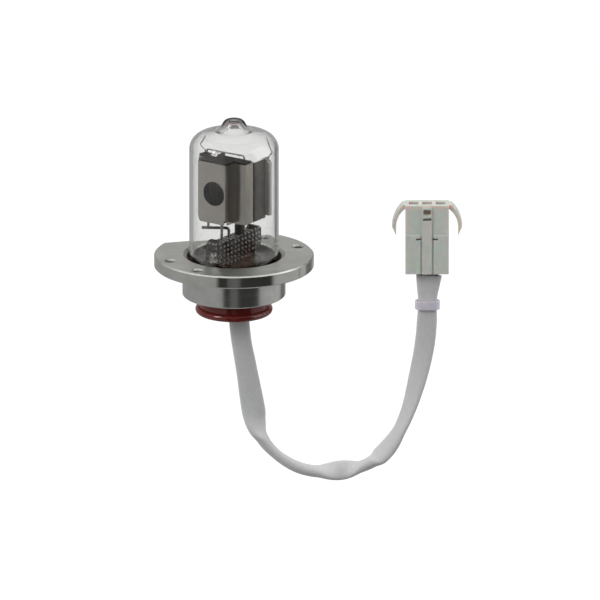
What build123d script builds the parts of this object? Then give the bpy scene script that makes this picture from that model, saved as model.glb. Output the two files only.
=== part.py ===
from build123d import *
import os
from math import cos, pi, radians, sin, sqrt, tan

# A pre-aligned deuterium lamp, in millimetres.
# The origin is the centre of the flange's underside, which seats on the instrument.
# +Z runs up along the bulb, and the long side of the screw hole rectangle lies along Y.

os.makedirs("parts", exist_ok=True)

# Glass bulb
BULB_DIAMETER = 28.0
BULB_WALL = 1.1
BULB_FOOT_Z = 0.5
BULB_FOOT_ROUND = 4.0
FOOT_SEAL_WIDTH = 1.6
BULB_SHOULDER_Z = 38.3
BULB_SHOULDER_ROUND = 5.0
CROWN_SLOPE = 15.0
TIP_FOOT_RADIUS = 4.7
TIP_RADIUS = 2.9
TIP_HEIGHT = 3.3
TIP_FLARE_ROUND = 3.8
TIP_TOP_ROUND = 1.9
TIP_WALL = 1.3

# Lamp holder, the grooved barrel round the foot of the bulb
HOLDER_BULB_GAP = 0.55
GROOVE_DEPTH = 0.25
GROOVE_PITCH = 0.75
GROOVE_COUNT = 10
GROOVE_TOP_MARGIN = 0.4
HOLDER_WALL = 0.55
HOLDER_TOP_BELOW_FLANGE = 0.7
HOLDER_FIT = 0.02
HOLDER_SHOULDER_STEP = 0.78
HOLDER_COLLAR_WIDTH = 0.35
HOLDER_COLLAR_HEIGHT = 0.8
HOLDER_DROP = 9.2
HOLDER_LIP_THICKNESS = 1.0
HOLDER_EDGE_CHAMFER = 0.35

# Mounting flange
FLANGE_DIAMETER = 50.0
FLANGE_THICKNESS = 4.0
FLANGE_EDGE_CHAMFER = 0.4
BORE_CHAMFER = 0.55
FLAT_WALL = 1.48
FLAT_ANGLE = 156.0
HOLE_DIAMETER = 3.2
COUNTERSINK_DIAMETER = 4.0
HOLE_SPACING_X = 13.4
HOLE_RIM_MARGIN = 3.623

# Glass press stem
STEM_DISC_THICKNESS = 1.1
STEM_HUB_GAP = 0.1
STEM_HUB_HEIGHT = 1.1
STEM_TUBE_WALL = 1.1
PRESS_THICKNESS = 3.2
PRESS_GLASS_GAP = 0.45
PRESS_SHOULDER_Z = 4.9
PRESS_TOP_Z = 10.2
PRESS_EAR_RISE = 0.9
PRESS_EAR_WIDTH = 3.6
PRESS_CORNER_ROUND = 2.2
PRESS_EASE = 0.3
WAFFLE_PITCH_ALONG = 1.9
WAFFLE_PITCH_UP = 1.5
WAFFLE_RISE = 0.35
WAFFLE_LAND = 0.25
WAFFLE_TAPER = 48.0
WAFFLE_ROWS = 5
WAFFLE_COLUMNS = 11

# Electrode assembly, set out from the direction in which the light leaves
LIGHT_ANGLE = -75.5
LIGHT_CENTRE_Z = 26.6
SHEET = 0.35
BEND_RADIUS = 0.35
BOX_BOTTOM_Z = 16.9
BOX_HEIGHT = 19.65
FRONT_GLASS_GAP = 0.25
WEB_HALF_WIDTH = 5.35
FRONT_STEP = 3.9
WING_GLASS_GAP = 0.65
OPENING_DIAMETER = 7.8
OPENING_X = 0.7
CORNER_NOTCH_WIDTH = 0.95
CORNER_NOTCH_HEIGHT = 1.3
LEFT_SIDE_IN = 1.6
BOX_DEPTH = 4.6
BOX_PORT_SIZE = 7.0
FRAME_STEP = 0.35
FRAME_WALL = 1.6
FRAME_DEPTH = 6.2
FRAME_TOP_DROP = 3.0
REAR_COVER_DEPTH = 1.6
REAR_COVER_BOTTOM_RISE = 0.8
REAR_COVER_OVERHANG = 1.4
REAR_LIP = 1.4
REAR_CORNER_CUT = 1.3
REAR_EAR_MARGIN = 0.6
SIDE_PLATE_DROP = 0.5
SPACER_THICKNESS = 1.0
SPACER_RECESS = 0.6
TOP_PLATE_GROOVE = 0.2
TOP_PLATE_THICKNESS = 0.3
TOP_PLATE_SETBACK = 1.05
SPACER_CORNER_CUT = 0.6
APERTURE_PLATE_THICKNESS = 0.8
APERTURE_DIAMETER = 1.2
APERTURE_CONE_DIAMETER = 2.4
BAFFLE_X = -4.0
BAFFLE_FRONT_Y = -8.0
ANODE_SIZE = 6.0
ANODE_THICKNESS = 0.8
FILAMENT_TURN_RADIUS = 0.9
FILAMENT_TURN_PITCH = 0.8
FILAMENT_TURNS = 8
FILAMENT_LEG_RADIUS = 0.3

# Wires inside the bulb, placed along the press by their distance behind the lamp's axis
LEAD_DIAMETER = 0.9
LEAD_TAIL_Z = -3.0
FRONT_LEAD_Y = -6.44
CATHODE_LEAD_Y = -2.75
ANODE_LEAD_Y = 2.75
ANODE_LEAD_INSIDE_Y = 1.6
CATHODE_ARM_Z = 13.2
CATHODE_ARM_LENGTH = 8.4
CATHODE_ARM_ANGLE = 212.0
CATHODE_ARM_BEND = 0.9
FILAMENT_POST_ALONG = 6.4
FILAMENT_POST_DIAMETER = 0.8
INSULATOR_DIAMETER = 2.9
INSULATOR_HEIGHT = 3.0
REAR_LEAD_TOP_Z = 31.0
BAIL_DIAMETER = 0.55
BAIL_HALF_WIDTH = 7.2
BAIL_Y = -4.5
BAIL_ABOVE_BOX = 1.8
BAIL_BEND = 0.9
TAB_THICKNESS = 0.3
TAB_INNER_X = -0.5
TAB_OUTER_X = -4.2
SPRING_DIAMETER = 0.35
SPRING_BEND = 0.4
SPRING_TIP_GAP = 0.35
SPRING_FOOT_LENGTH = 2.1
RIGHT_SPRING_OUT = 2.3
RIGHT_SPRING_BELOW = 0.3
RIGHT_SPRING_ABOVE = 1.6
LEFT_SPRING_X = -7.0
LEFT_SPRING_Y = -5.6
LEFT_SPRING_RISE = 1.2
LEFT_SPRING_OUT = 1.6
LEFT_SPRING_DROP = 2.7
LEFT_SPRING_ELBOW = 0.6
LEFT_TIP_X = -6.8

# Base under the bulb
CEMENT_OPENING_RADIUS = 8.0
PLUG_NECK_RADIUS = 11.0
PLUG_NECK_GAP = 0.1
PLUG_FLANGE_WIDTH = 1.1
PLUG_FLANGE_THICKNESS = 1.0
PLUG_BEAD_RADIUS = 1.2
PLUG_BEAD_OVERHANG = 1.1
PLUG_BEAD_DROP = 4.7
PLUG_RECESS_RADIUS = 8.0
PLUG_RECESS_FLOOR = 2.0
PLUG_SLOT_DEPTH = 1.8
FERRULE_DIAMETER = 1.9
FERRULE_LENGTH = 3.2
FERRULE_OVERLAP = 1.2
WIRE_DIAMETER = 1.7
WIRE_PITCH = 2.0
WIRE_BEND = 0.8
BASE_WIRE_DROPS = [3.0, 0.8, 1.2]
BASE_WIRE_END = 1.2

# Lead: the flat sleeve hangs in a loop from the plug to the connector.
# Each point is (distance out from the lamp's axis, height).
LEAD_SIDE_ANGLE = 50.5
SLEEVE_WIDTH = 6.6
SLEEVE_THICKNESS = 2.8
SLEEVE_ROUTE = [
    (1.3, -13.3),
    (1.3, -22.3),
    (3.8, -32.8),
    (5.6, -44.2),
    (7.8, -54.5),
    (13.4, -61.8),
    (22.5, -66.9),
    (33.0, -67.1),
    (42.5, -65.2),
    (49.6, -58.3),
    (54.4, -48.2),
    (56.8, -37.0),
    (58.5, -26.0),
    (60.5, -16.2),
    (60.5, -8.8),
    (61.0, -2.9),
]
ARC_SHARE = 0.45
BAND_Z = -12.6
BAND_HEIGHT = 2.65
BAND_WALL = 0.6

# Connector housing
HOUSING_OUT = 60.4
HOUSING_BOTTOM_Z = -1.7
HOUSING_WIDTH = 13.65
HOUSING_DEPTH = 6.4
HOUSING_HEIGHT = 22.3
HOUSING_ROUND = 0.5
CIRCUITS = 3
CIRCUIT_PITCH = 4.2
CAVITY_SIZE = 3.0
ENTRY_WIDTH = 11.8
ENTRY_DEPTH = 4.4
ENTRY_HEIGHT = 3.2
RIB_WIDTH = 2.9
RIB_RISE = 0.45
RIB_TOP_DROP = 0.6
WINDOW_WIDTH = 2.4
WINDOW_HEIGHT = 1.9
WINDOW_DROP = 1.2
CATCH_WIDTH = 2.7
CATCH_HEIGHT = 0.9
CATCH_DROP = 4.0
SHELF_STEP = 0.35
SHELF_DROP = 9.6
SHELF_WIDTH = 4.6
SHELF_OUT = 4.4
LANCE_SLOT_WIDTH = 1.7
LANCE_SLOT_HEIGHT = 0.6
LANCE_SLOT_DROP = 10.9
LANCE_SLOT_OUT = 2.6
ARM_DEPTH = 4.4
ARM_ROOT_OUT = 0.75
ARM_ROOT_HEIGHT = 1.3
ARM_SPREAD = 4.13
ARM_BOW = 0.55
ARM_THICKNESS = 1.26
ARM_ELBOW_DROP = 7.1
ARM_TIP_DROP = 10.0
CONTACT_GAP = 0.05
CONTACT_WALL = 0.3
CONTACT_LENGTH = 9.0
CONTACT_BOTTOM = 4.5

# Sizes that follow from those above
bulb_radius = BULB_DIAMETER / 2
bulb_inner_radius = bulb_radius - BULB_WALL
foot_radius = bulb_radius - BULB_FOOT_ROUND
foot_opening = foot_radius - FOOT_SEAL_WIDTH
crown_rise = tan(radians(CROWN_SLOPE))
shoulder_turn = radians(90 - CROWN_SLOPE)
shoulder_corner_z = BULB_SHOULDER_Z + BULB_SHOULDER_ROUND * tan(shoulder_turn / 2)
tip_foot_z = shoulder_corner_z + (bulb_radius - TIP_FOOT_RADIUS) * crown_rise
tip_top_z = tip_foot_z + TIP_HEIGHT
inner_crown_z = shoulder_corner_z - BULB_WALL / cos(radians(CROWN_SLOPE))

holder_crest_radius = bulb_radius + HOLDER_BULB_GAP
holder_root_radius = holder_crest_radius + GROOVE_DEPTH
holder_neck_radius = holder_root_radius + HOLDER_WALL
holder_barrel_radius = holder_neck_radius + HOLDER_FIT + HOLDER_SHOULDER_STEP
holder_collar_radius = holder_barrel_radius + HOLDER_COLLAR_WIDTH
holder_top_z = FLANGE_THICKNESS - HOLDER_TOP_BELOW_FLANGE
groove_top_z = holder_top_z - GROOVE_TOP_MARGIN
groove_bottom_z = groove_top_z - GROOVE_COUNT * GROOVE_PITCH
lip_top_z = HOLDER_LIP_THICKNESS - HOLDER_DROP
bore_radius = holder_neck_radius + HOLDER_FIT
flat_distance = bore_radius + BORE_CHAMFER + FLAT_WALL
hole_circle_radius = FLANGE_DIAMETER / 2 - HOLE_RIM_MARGIN
hole_spacing_y = 2 * sqrt(hole_circle_radius**2 - (HOLE_SPACING_X / 2) ** 2)

stem_bottom_z = BULB_FOOT_Z - STEM_DISC_THICKNESS
stem_hub_radius = foot_opening - STEM_HUB_GAP
stem_hub_top_z = BULB_FOOT_Z + STEM_HUB_HEIGHT
press_reach = bulb_inner_radius - PRESS_GLASS_GAP
press_half_width = sqrt(press_reach**2 - (PRESS_THICKNESS / 2 + WAFFLE_RISE) ** 2)
press_ear_z = PRESS_TOP_Z + PRESS_EAR_RISE

box_top_z = BOX_BOTTOM_Z + BOX_HEIGHT
web_y = -sqrt((bulb_inner_radius - FRONT_GLASS_GAP) ** 2 - WEB_HALF_WIDTH**2)
wing_y = web_y + FRONT_STEP
wing_x = sqrt((bulb_inner_radius - WING_GLASS_GAP) ** 2 - wing_y**2)
left_x = LEFT_SIDE_IN - wing_x
box_back_y = wing_y + BOX_DEPTH
frame_right_x = wing_x - FRAME_STEP
frame_left_x = left_x + FRAME_STEP
frame_back_y = box_back_y + FRAME_DEPTH
rear_cover_right_x = wing_x + REAR_COVER_OVERHANG
rear_cover_left_x = left_x - REAR_COVER_OVERHANG
rear_cover_y = frame_back_y + REAR_COVER_DEPTH
lower_spacer_z = BOX_BOTTOM_Z + SPACER_RECESS
lower_spacer_top_z = lower_spacer_z + SPACER_THICKNESS
upper_spacer_z = box_top_z - SPACER_RECESS
top_plate_z = box_top_z + TOP_PLATE_GROOVE
upper_spacer_top_z = top_plate_z + TOP_PLATE_THICKNESS
frame_top_z = box_top_z - FRAME_TOP_DROP
rear_cover_bottom_z = BOX_BOTTOM_Z + REAR_COVER_BOTTOM_RISE
side_plate_top_z = box_top_z - SIDE_PLATE_DROP
aperture_front_y = box_back_y - SHEET - APERTURE_PLATE_THICKNESS
anode_back_y = ANODE_LEAD_INSIDE_Y - LEAD_DIAMETER / 2
rear_lead_y = rear_cover_y + LEAD_DIAMETER / 2
right_foot_x = rear_cover_right_x - REAR_CORNER_CUT - SPRING_DIAMETER
rear_ear_x = right_foot_x - REAR_EAR_MARGIN
filament_x = FILAMENT_POST_ALONG * cos(radians(CATHODE_ARM_ANGLE))
filament_y = CATHODE_LEAD_Y + FILAMENT_POST_ALONG * sin(radians(CATHODE_ARM_ANGLE))
filament_half_height = FILAMENT_TURNS * FILAMENT_TURN_PITCH / 2
bail_z = box_top_z + BAIL_ABOVE_BOX

plug_top_z = lip_top_z + PLUG_FLANGE_THICKNESS
plug_bead_z = -HOLDER_DROP - PLUG_BEAD_DROP
plug_bottom_z = plug_bead_z - PLUG_BEAD_RADIUS
plug_floor_z = plug_bottom_z + PLUG_SLOT_DEPTH + PLUG_RECESS_FLOOR
ferrule_top_z = LEAD_TAIL_Z + FERRULE_OVERLAP
ferrule_bottom_z = ferrule_top_z - FERRULE_LENGTH

housing_half_width = HOUSING_WIDTH / 2
housing_top_z = HOUSING_BOTTOM_Z + HOUSING_HEIGHT
contact_size = CAVITY_SIZE - 2 * CONTACT_GAP
contact_bottom_z = HOUSING_BOTTOM_Z + CONTACT_BOTTOM
circuit_places = [
    (HOUSING_OUT + (number - (CIRCUITS - 1) / 2) * CIRCUIT_PITCH, 0) for number in range(CIRCUITS)
]

# The electrode assembly's own directions: X to the right of the opening, Y to the back
electrode_x = (-sin(radians(LIGHT_ANGLE)), cos(radians(LIGHT_ANGLE)), 0)
electrode_y = (-cos(radians(LIGHT_ANGLE)), -sin(radians(LIGHT_ANGLE)), 0)
electrode_plane = Plane(origin=(0, 0, 0), x_dir=electrode_x, z_dir=(0, 0, 1))

# The lead hangs in an upright plane: X runs out from the lamp's axis, Y runs up
lead_out = (cos(radians(LEAD_SIDE_ANGLE)), sin(radians(LEAD_SIDE_ANGLE)), 0)
lead_front = (sin(radians(LEAD_SIDE_ANGLE)), -cos(radians(LEAD_SIDE_ANGLE)), 0)
lead_plane = Plane(origin=(0, 0, 0), x_dir=lead_out, z_dir=lead_front)


def electrode_level(z):
    """A level plane at height z that follows the electrode assembly's directions."""
    return electrode_plane.offset(z)


def electrode_face(y, z):
    """An upright plane facing the window, y behind the axis, with its origin at height z."""
    origin = electrode_plane.from_local_coords((0, y, z))
    return Plane(origin=origin, x_dir=electrode_x, z_dir=(-electrode_y[0], -electrode_y[1], 0))


def lead_level(z):
    """A level plane at height z with X out along the lead's plane and Y to its back."""
    return Plane(origin=(0, 0, z), x_dir=lead_out, z_dir=(0, 0, 1))


def route_radii(points):
    """The radius of each arc of a route, as large as the shorter run beside it allows."""
    vectors = [Vector(*point) for point in points]
    radii = []
    for before, here, after in zip(vectors, vectors[1:], vectors[2:]):
        turn = radians((here - before).get_angle(after - here))
        shorter = min((here - before).length, (after - here).length)
        radii.append(ARC_SHARE * shorter / tan(turn / 2))
    return radii


def round_wire(plane, points, diameter, bend):
    """A round wire along points given in a plane's own directions, with bent corners."""
    with BuildPart() as wire:
        with BuildLine(plane) as path:
            if len(points) > 2:
                FilletPolyline(*points, radius=bend)
            else:
                Line(*points)
        with BuildSketch(Plane(origin=path.line @ 0, z_dir=path.line % 0)):
            Circle(diameter / 2)
        sweep()
    return wire


# Glass bulb: a tube with a rounded foot, a domed crown and the sealed-off exhaust tip
with BuildPart() as glass_bulb:
    with BuildSketch(Plane.XZ):
        with BuildLine():
            outside = FilletPolyline(
                (foot_opening, BULB_FOOT_Z),
                (bulb_radius, BULB_FOOT_Z),
                (bulb_radius, shoulder_corner_z),
                (TIP_FOOT_RADIUS, tip_foot_z),
                (TIP_RADIUS, tip_top_z),
                (0, tip_top_z),
                radius=[BULB_FOOT_ROUND, BULB_SHOULDER_ROUND, TIP_FLARE_ROUND, TIP_TOP_ROUND],
            )
            inner_tip = TIP_RADIUS - TIP_WALL
            inner_foot = TIP_FOOT_RADIUS - TIP_WALL
            inside = FilletPolyline(
                (foot_opening, BULB_FOOT_Z + BULB_WALL),
                (bulb_inner_radius, BULB_FOOT_Z + BULB_WALL),
                (bulb_inner_radius, inner_crown_z + BULB_WALL * crown_rise),
                (inner_foot, inner_crown_z + (bulb_radius - inner_foot) * crown_rise),
                (inner_tip, tip_top_z - TIP_WALL),
                (0, tip_top_z - TIP_WALL),
                radius=[
                    BULB_FOOT_ROUND - BULB_WALL,
                    BULB_SHOULDER_ROUND - BULB_WALL,
                    TIP_FLARE_ROUND,
                    TIP_TOP_ROUND - TIP_WALL,
                ],
            )
            Line(outside @ 0, inside @ 0)
            Line(outside @ 1, inside @ 1)
        make_face()
    revolve(axis=Axis.Z)
glass_bulb.part.label = "glass_bulb"
export_step(glass_bulb.part, "parts/glass_bulb.step")


# Mounting flange: a chamfered ring with one flat and four countersunk screw holes
with BuildPart() as mounting_flange:
    with BuildSketch():
        Circle(FLANGE_DIAMETER / 2)
        with Locations(Rot(0, 0, FLAT_ANGLE) * Pos(flat_distance, 0)):
            Rectangle(
                FLANGE_DIAMETER, FLANGE_DIAMETER, align=(Align.MIN, Align.CENTER), mode=Mode.SUBTRACT
            )
        Circle(bore_radius, mode=Mode.SUBTRACT)
    extrude(amount=FLANGE_THICKNESS)
    with BuildSketch():
        Circle(holder_collar_radius + HOLDER_FIT)
    extrude(amount=HOLDER_COLLAR_HEIGHT, mode=Mode.SUBTRACT)
    top_face = mounting_flange.faces().sort_by(Axis.Z)[-1]
    bottom_face = mounting_flange.faces().sort_by(Axis.Z)[0]
    rim_edges = top_face.outer_wire().edges() + bottom_face.outer_wire().edges()
    chamfer(rim_edges, length=FLANGE_EDGE_CHAMFER)
    bore_edges = mounting_flange.edges().filter_by(GeomType.CIRCLE).group_by(Axis.Z)[-1]
    chamfer(bore_edges.sort_by(SortBy.RADIUS)[0], length=BORE_CHAMFER)
    with Locations(Plane.XY.offset(FLANGE_THICKNESS)):
        with GridLocations(HOLE_SPACING_X, hole_spacing_y, 2, 2):
            CounterSinkHole(HOLE_DIAMETER / 2, COUNTERSINK_DIAMETER / 2, counter_sink_angle=90)
mounting_flange.part.label = "mounting_flange"
export_step(mounting_flange.part, "parts/mounting_flange.step")


# Lamp holder: a barrel whose neck fits the flange, grooved inside, with a lip at the bottom
groove_points = []
for number in range(GROOVE_COUNT):
    crest_z = groove_top_z - number * GROOVE_PITCH
    groove_points.append((holder_crest_radius, crest_z))
    groove_points.append((holder_root_radius, crest_z - GROOVE_PITCH / 2))
with BuildPart() as lamp_holder:
    with BuildSketch(Plane.XZ):
        with BuildLine():
            Polyline(
                (holder_crest_radius, holder_top_z),
                *groove_points,
                (holder_crest_radius, groove_bottom_z),
                (holder_crest_radius, lip_top_z),
                (PLUG_NECK_RADIUS + PLUG_NECK_GAP, lip_top_z),
                (PLUG_NECK_RADIUS + PLUG_NECK_GAP, -HOLDER_DROP),
                (holder_barrel_radius - HOLDER_EDGE_CHAMFER, -HOLDER_DROP),
                (holder_barrel_radius, HOLDER_EDGE_CHAMFER - HOLDER_DROP),
                (holder_barrel_radius, 0),
                (holder_collar_radius, 0),
                (holder_collar_radius, HOLDER_COLLAR_HEIGHT),
                (holder_neck_radius, HOLDER_COLLAR_HEIGHT),
                (holder_neck_radius, holder_top_z),
                close=True,
            )
        make_face()
    revolve(axis=Axis.Z)
lamp_holder.part.label = "lamp_holder"
export_step(lamp_holder.part, "parts/lamp_holder.step")


# Leads through the press: straight support leads, the bent cathode lead and the anode lead
front_lead = round_wire(
    electrode_plane,
    [(0, FRONT_LEAD_Y, LEAD_TAIL_Z), (0, FRONT_LEAD_Y, lower_spacer_z)],
    LEAD_DIAMETER,
    CATHODE_ARM_BEND,
)
front_lead.part.label = "front_lead"
export_step(front_lead.part, "parts/front_lead.step")

cathode_lead = round_wire(
    electrode_plane,
    [
        (0, CATHODE_LEAD_Y, LEAD_TAIL_Z),
        (0, CATHODE_LEAD_Y, CATHODE_ARM_Z),
        (
            CATHODE_ARM_LENGTH * cos(radians(CATHODE_ARM_ANGLE)),
            CATHODE_LEAD_Y + CATHODE_ARM_LENGTH * sin(radians(CATHODE_ARM_ANGLE)),
            CATHODE_ARM_Z,
        ),
    ],
    LEAD_DIAMETER,
    CATHODE_ARM_BEND,
)
cathode_lead.part.label = "cathode_lead"
export_step(cathode_lead.part, "parts/cathode_lead.step")

insulator_top_z = PRESS_TOP_Z + INSULATOR_HEIGHT
anode_lead = round_wire(
    electrode_plane,
    [
        (0, ANODE_LEAD_Y, LEAD_TAIL_Z),
        (0, ANODE_LEAD_Y, insulator_top_z + LEAD_DIAMETER),
        (0, ANODE_LEAD_INSIDE_Y, lower_spacer_z - LEAD_DIAMETER),
        (0, ANODE_LEAD_INSIDE_Y, LIGHT_CENTRE_Z + ANODE_SIZE / 3),
    ],
    LEAD_DIAMETER,
    LEAD_DIAMETER,
)
anode_lead.part.label = "anode_lead"
export_step(anode_lead.part, "parts/anode_lead.step")

rear_lead = round_wire(
    electrode_plane,
    [(0, rear_lead_y, LEAD_TAIL_Z), (0, rear_lead_y, REAR_LEAD_TOP_Z)],
    LEAD_DIAMETER,
    CATHODE_ARM_BEND,
)
rear_lead.part.label = "rear_lead"
export_step(rear_lead.part, "parts/rear_lead.step")

with BuildPart() as anode_insulator:
    with BuildSketch(electrode_level(PRESS_TOP_Z)):
        with Locations((0, ANODE_LEAD_Y)):
            Circle(INSULATOR_DIAMETER / 2)
            Circle(LEAD_DIAMETER / 2, mode=Mode.SUBTRACT)
    extrude(amount=INSULATOR_HEIGHT)
anode_insulator.part.label = "anode_insulator"
export_step(anode_insulator.part, "parts/anode_insulator.step")


# Press stem: a disc sealed under the bulb's foot and the flat press with its waffle pattern
press_plane = Plane(origin=(0, 0, 0), x_dir=electrode_y, z_dir=electrode_x)
hub_half_width = sqrt(stem_hub_radius**2 - (PRESS_THICKNESS / 2) ** 2)
ear_inner = press_half_width - PRESS_EAR_WIDTH
waffle_bottom_z = stem_hub_top_z + WAFFLE_LAND
waffle_places = []
for row in range(WAFFLE_ROWS):
    place_z = waffle_bottom_z + (row + 0.5) * WAFFLE_PITCH_UP
    rise = (place_z - WAFFLE_PITCH_UP / 2 - stem_hub_top_z) / (PRESS_SHOULDER_Z - stem_hub_top_z)
    rise = min(1, rise)
    half_width = hub_half_width + (press_half_width - hub_half_width) * rise
    for column in range(WAFFLE_COLUMNS):
        place_x = (column - (WAFFLE_COLUMNS - 1) / 2) * WAFFLE_PITCH_ALONG
        if abs(place_x) + WAFFLE_PITCH_ALONG / 2 < half_width:
            waffle_places.append((place_x, place_z))
with BuildPart() as press_stem:
    with BuildSketch(Plane.XY.offset(stem_bottom_z)):
        Circle(foot_radius)
    extrude(amount=STEM_DISC_THICKNESS)
    with BuildSketch(Plane.XY.offset(BULB_FOOT_Z)):
        Circle(stem_hub_radius)
    extrude(amount=STEM_HUB_HEIGHT)
    with BuildSketch(press_plane):
        with BuildLine():
            FilletPolyline(
                (0, BULB_FOOT_Z),
                (hub_half_width, BULB_FOOT_Z),
                (hub_half_width, stem_hub_top_z),
                (press_half_width, PRESS_SHOULDER_Z),
                (press_half_width, press_ear_z),
                (ear_inner + PRESS_EAR_RISE, press_ear_z),
                (ear_inner, PRESS_TOP_Z),
                (0, PRESS_TOP_Z),
                radius=[
                    PRESS_EASE,
                    PRESS_EASE,
                    PRESS_CORNER_ROUND,
                    PRESS_CORNER_ROUND,
                    PRESS_EASE,
                    PRESS_EASE,
                ],
            )
            mirror(about=Plane.YZ)
        make_face()
    extrude(amount=PRESS_THICKNESS / 2, both=True)
    for face_plane in (
        press_plane.offset(PRESS_THICKNESS / 2),
        Plane(
            origin=press_plane.offset(-PRESS_THICKNESS / 2).origin,
            x_dir=electrode_y,
            z_dir=-press_plane.z_dir,
        ),
    ):
        upward = 1 if face_plane.y_dir.Z > 0 else -1
        with BuildSketch(face_plane):
            with Locations(*[(x, upward * z) for x, z in waffle_places]):
                Rectangle(WAFFLE_PITCH_ALONG - WAFFLE_LAND, WAFFLE_PITCH_UP - WAFFLE_LAND)
        extrude(amount=WAFFLE_RISE, taper=WAFFLE_TAPER)
    with BuildSketch(Plane.XY.offset(stem_bottom_z)):
        Circle(stem_hub_radius - STEM_TUBE_WALL)
    extrude(amount=STEM_DISC_THICKNESS + STEM_HUB_HEIGHT - STEM_TUBE_WALL, mode=Mode.SUBTRACT)
    with BuildSketch(electrode_level(stem_bottom_z)):
        with Locations(
            (0, FRONT_LEAD_Y), (0, CATHODE_LEAD_Y), (0, ANODE_LEAD_Y), (0, rear_lead_y)
        ):
            Circle(LEAD_DIAMETER / 2)
    extrude(until=Until.LAST, mode=Mode.SUBTRACT)
press_stem.part.label = "press_stem"
export_step(press_stem.part, "parts/press_stem.step")


# Front shield: one folded sheet, a web with the round opening, two sides and two wings
with BuildPart() as front_shield:
    with BuildSketch(electrode_level(BOX_BOTTOM_Z)):
        with BuildLine():
            FilletPolyline(
                (left_x, wing_y + SHEET / 2),
                (-WEB_HALF_WIDTH + SHEET / 2, wing_y + SHEET / 2),
                (-WEB_HALF_WIDTH + SHEET / 2, web_y + SHEET / 2),
                (WEB_HALF_WIDTH - SHEET / 2, web_y + SHEET / 2),
                (WEB_HALF_WIDTH - SHEET / 2, wing_y + SHEET / 2),
                (wing_x, wing_y + SHEET / 2),
                radius=BEND_RADIUS,
            )
        trace(line_width=SHEET)
    extrude(amount=BOX_HEIGHT)
    with BuildSketch(electrode_face(web_y, LIGHT_CENTRE_Z)):
        with Locations((OPENING_X, 0)):
            Circle(OPENING_DIAMETER / 2)
    extrude(amount=-FRONT_STEP / 2, mode=Mode.SUBTRACT)
    with BuildSketch(electrode_face(web_y, BOX_BOTTOM_Z)):
        with Locations((-WEB_HALF_WIDTH, 0), (WEB_HALF_WIDTH, 0)):
            Rectangle(2 * CORNER_NOTCH_WIDTH, 2 * CORNER_NOTCH_HEIGHT)
    extrude(amount=-SHEET - BEND_RADIUS, mode=Mode.SUBTRACT)
front_shield.part.label = "front_shield"
export_step(front_shield.part, "parts/front_shield.step")


# Shield box: one folded sheet behind the wings, two sides and a back with a port for the arc
with BuildPart() as shield_box:
    with BuildSketch(electrode_level(BOX_BOTTOM_Z)):
        with BuildLine():
            FilletPolyline(
                (left_x + SHEET / 2, wing_y + SHEET),
                (left_x + SHEET / 2, box_back_y - SHEET / 2),
                (wing_x - SHEET / 2, box_back_y - SHEET / 2),
                (wing_x - SHEET / 2, wing_y + SHEET),
                radius=BEND_RADIUS,
            )
        trace(line_width=SHEET)
    extrude(amount=BOX_HEIGHT)
    with BuildSketch(electrode_face(box_back_y - SHEET, LIGHT_CENTRE_Z)):
        Rectangle(BOX_PORT_SIZE, BOX_PORT_SIZE)
    extrude(amount=-SHEET, mode=Mode.SUBTRACT)
shield_box.part.label = "shield_box"
export_step(shield_box.part, "parts/shield_box.step")


# Spacer frame: the dark block between the box and the rear cover, with the anode in its window
frame_middle_x = (frame_left_x + frame_right_x) / 2
frame_middle_z = (BOX_BOTTOM_Z + frame_top_z) / 2
frame_height = frame_top_z - BOX_BOTTOM_Z
with BuildPart() as spacer_frame:
    with BuildSketch(electrode_face(box_back_y, frame_middle_z)):
        with Locations((frame_middle_x, 0)):
            Rectangle(frame_right_x - frame_left_x, frame_height)
            Rectangle(
                frame_right_x - frame_left_x - 2 * FRAME_WALL,
                frame_height - 2 * FRAME_WALL,
                mode=Mode.SUBTRACT,
            )
    extrude(amount=-FRAME_DEPTH)
    with BuildSketch(electrode_level(BOX_BOTTOM_Z)):
        with Locations((0, ANODE_LEAD_INSIDE_Y)):
            Circle(LEAD_DIAMETER / 2)
    extrude(amount=FRAME_WALL, mode=Mode.SUBTRACT)
spacer_frame.part.label = "spacer_frame"
export_step(spacer_frame.part, "parts/spacer_frame.step")


# Side plate: a thin dark plate on the frame's right side, as tall as the shield box
with BuildPart() as side_plate:
    with BuildSketch(electrode_level(BOX_BOTTOM_Z)):
        with Locations((frame_right_x, box_back_y)):
            Rectangle(FRAME_STEP, FRAME_DEPTH, align=(Align.MIN, Align.MIN))
    extrude(amount=side_plate_top_z - BOX_BOTTOM_Z)
side_plate.part.label = "side_plate"
export_step(side_plate.part, "parts/side_plate.step")


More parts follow.
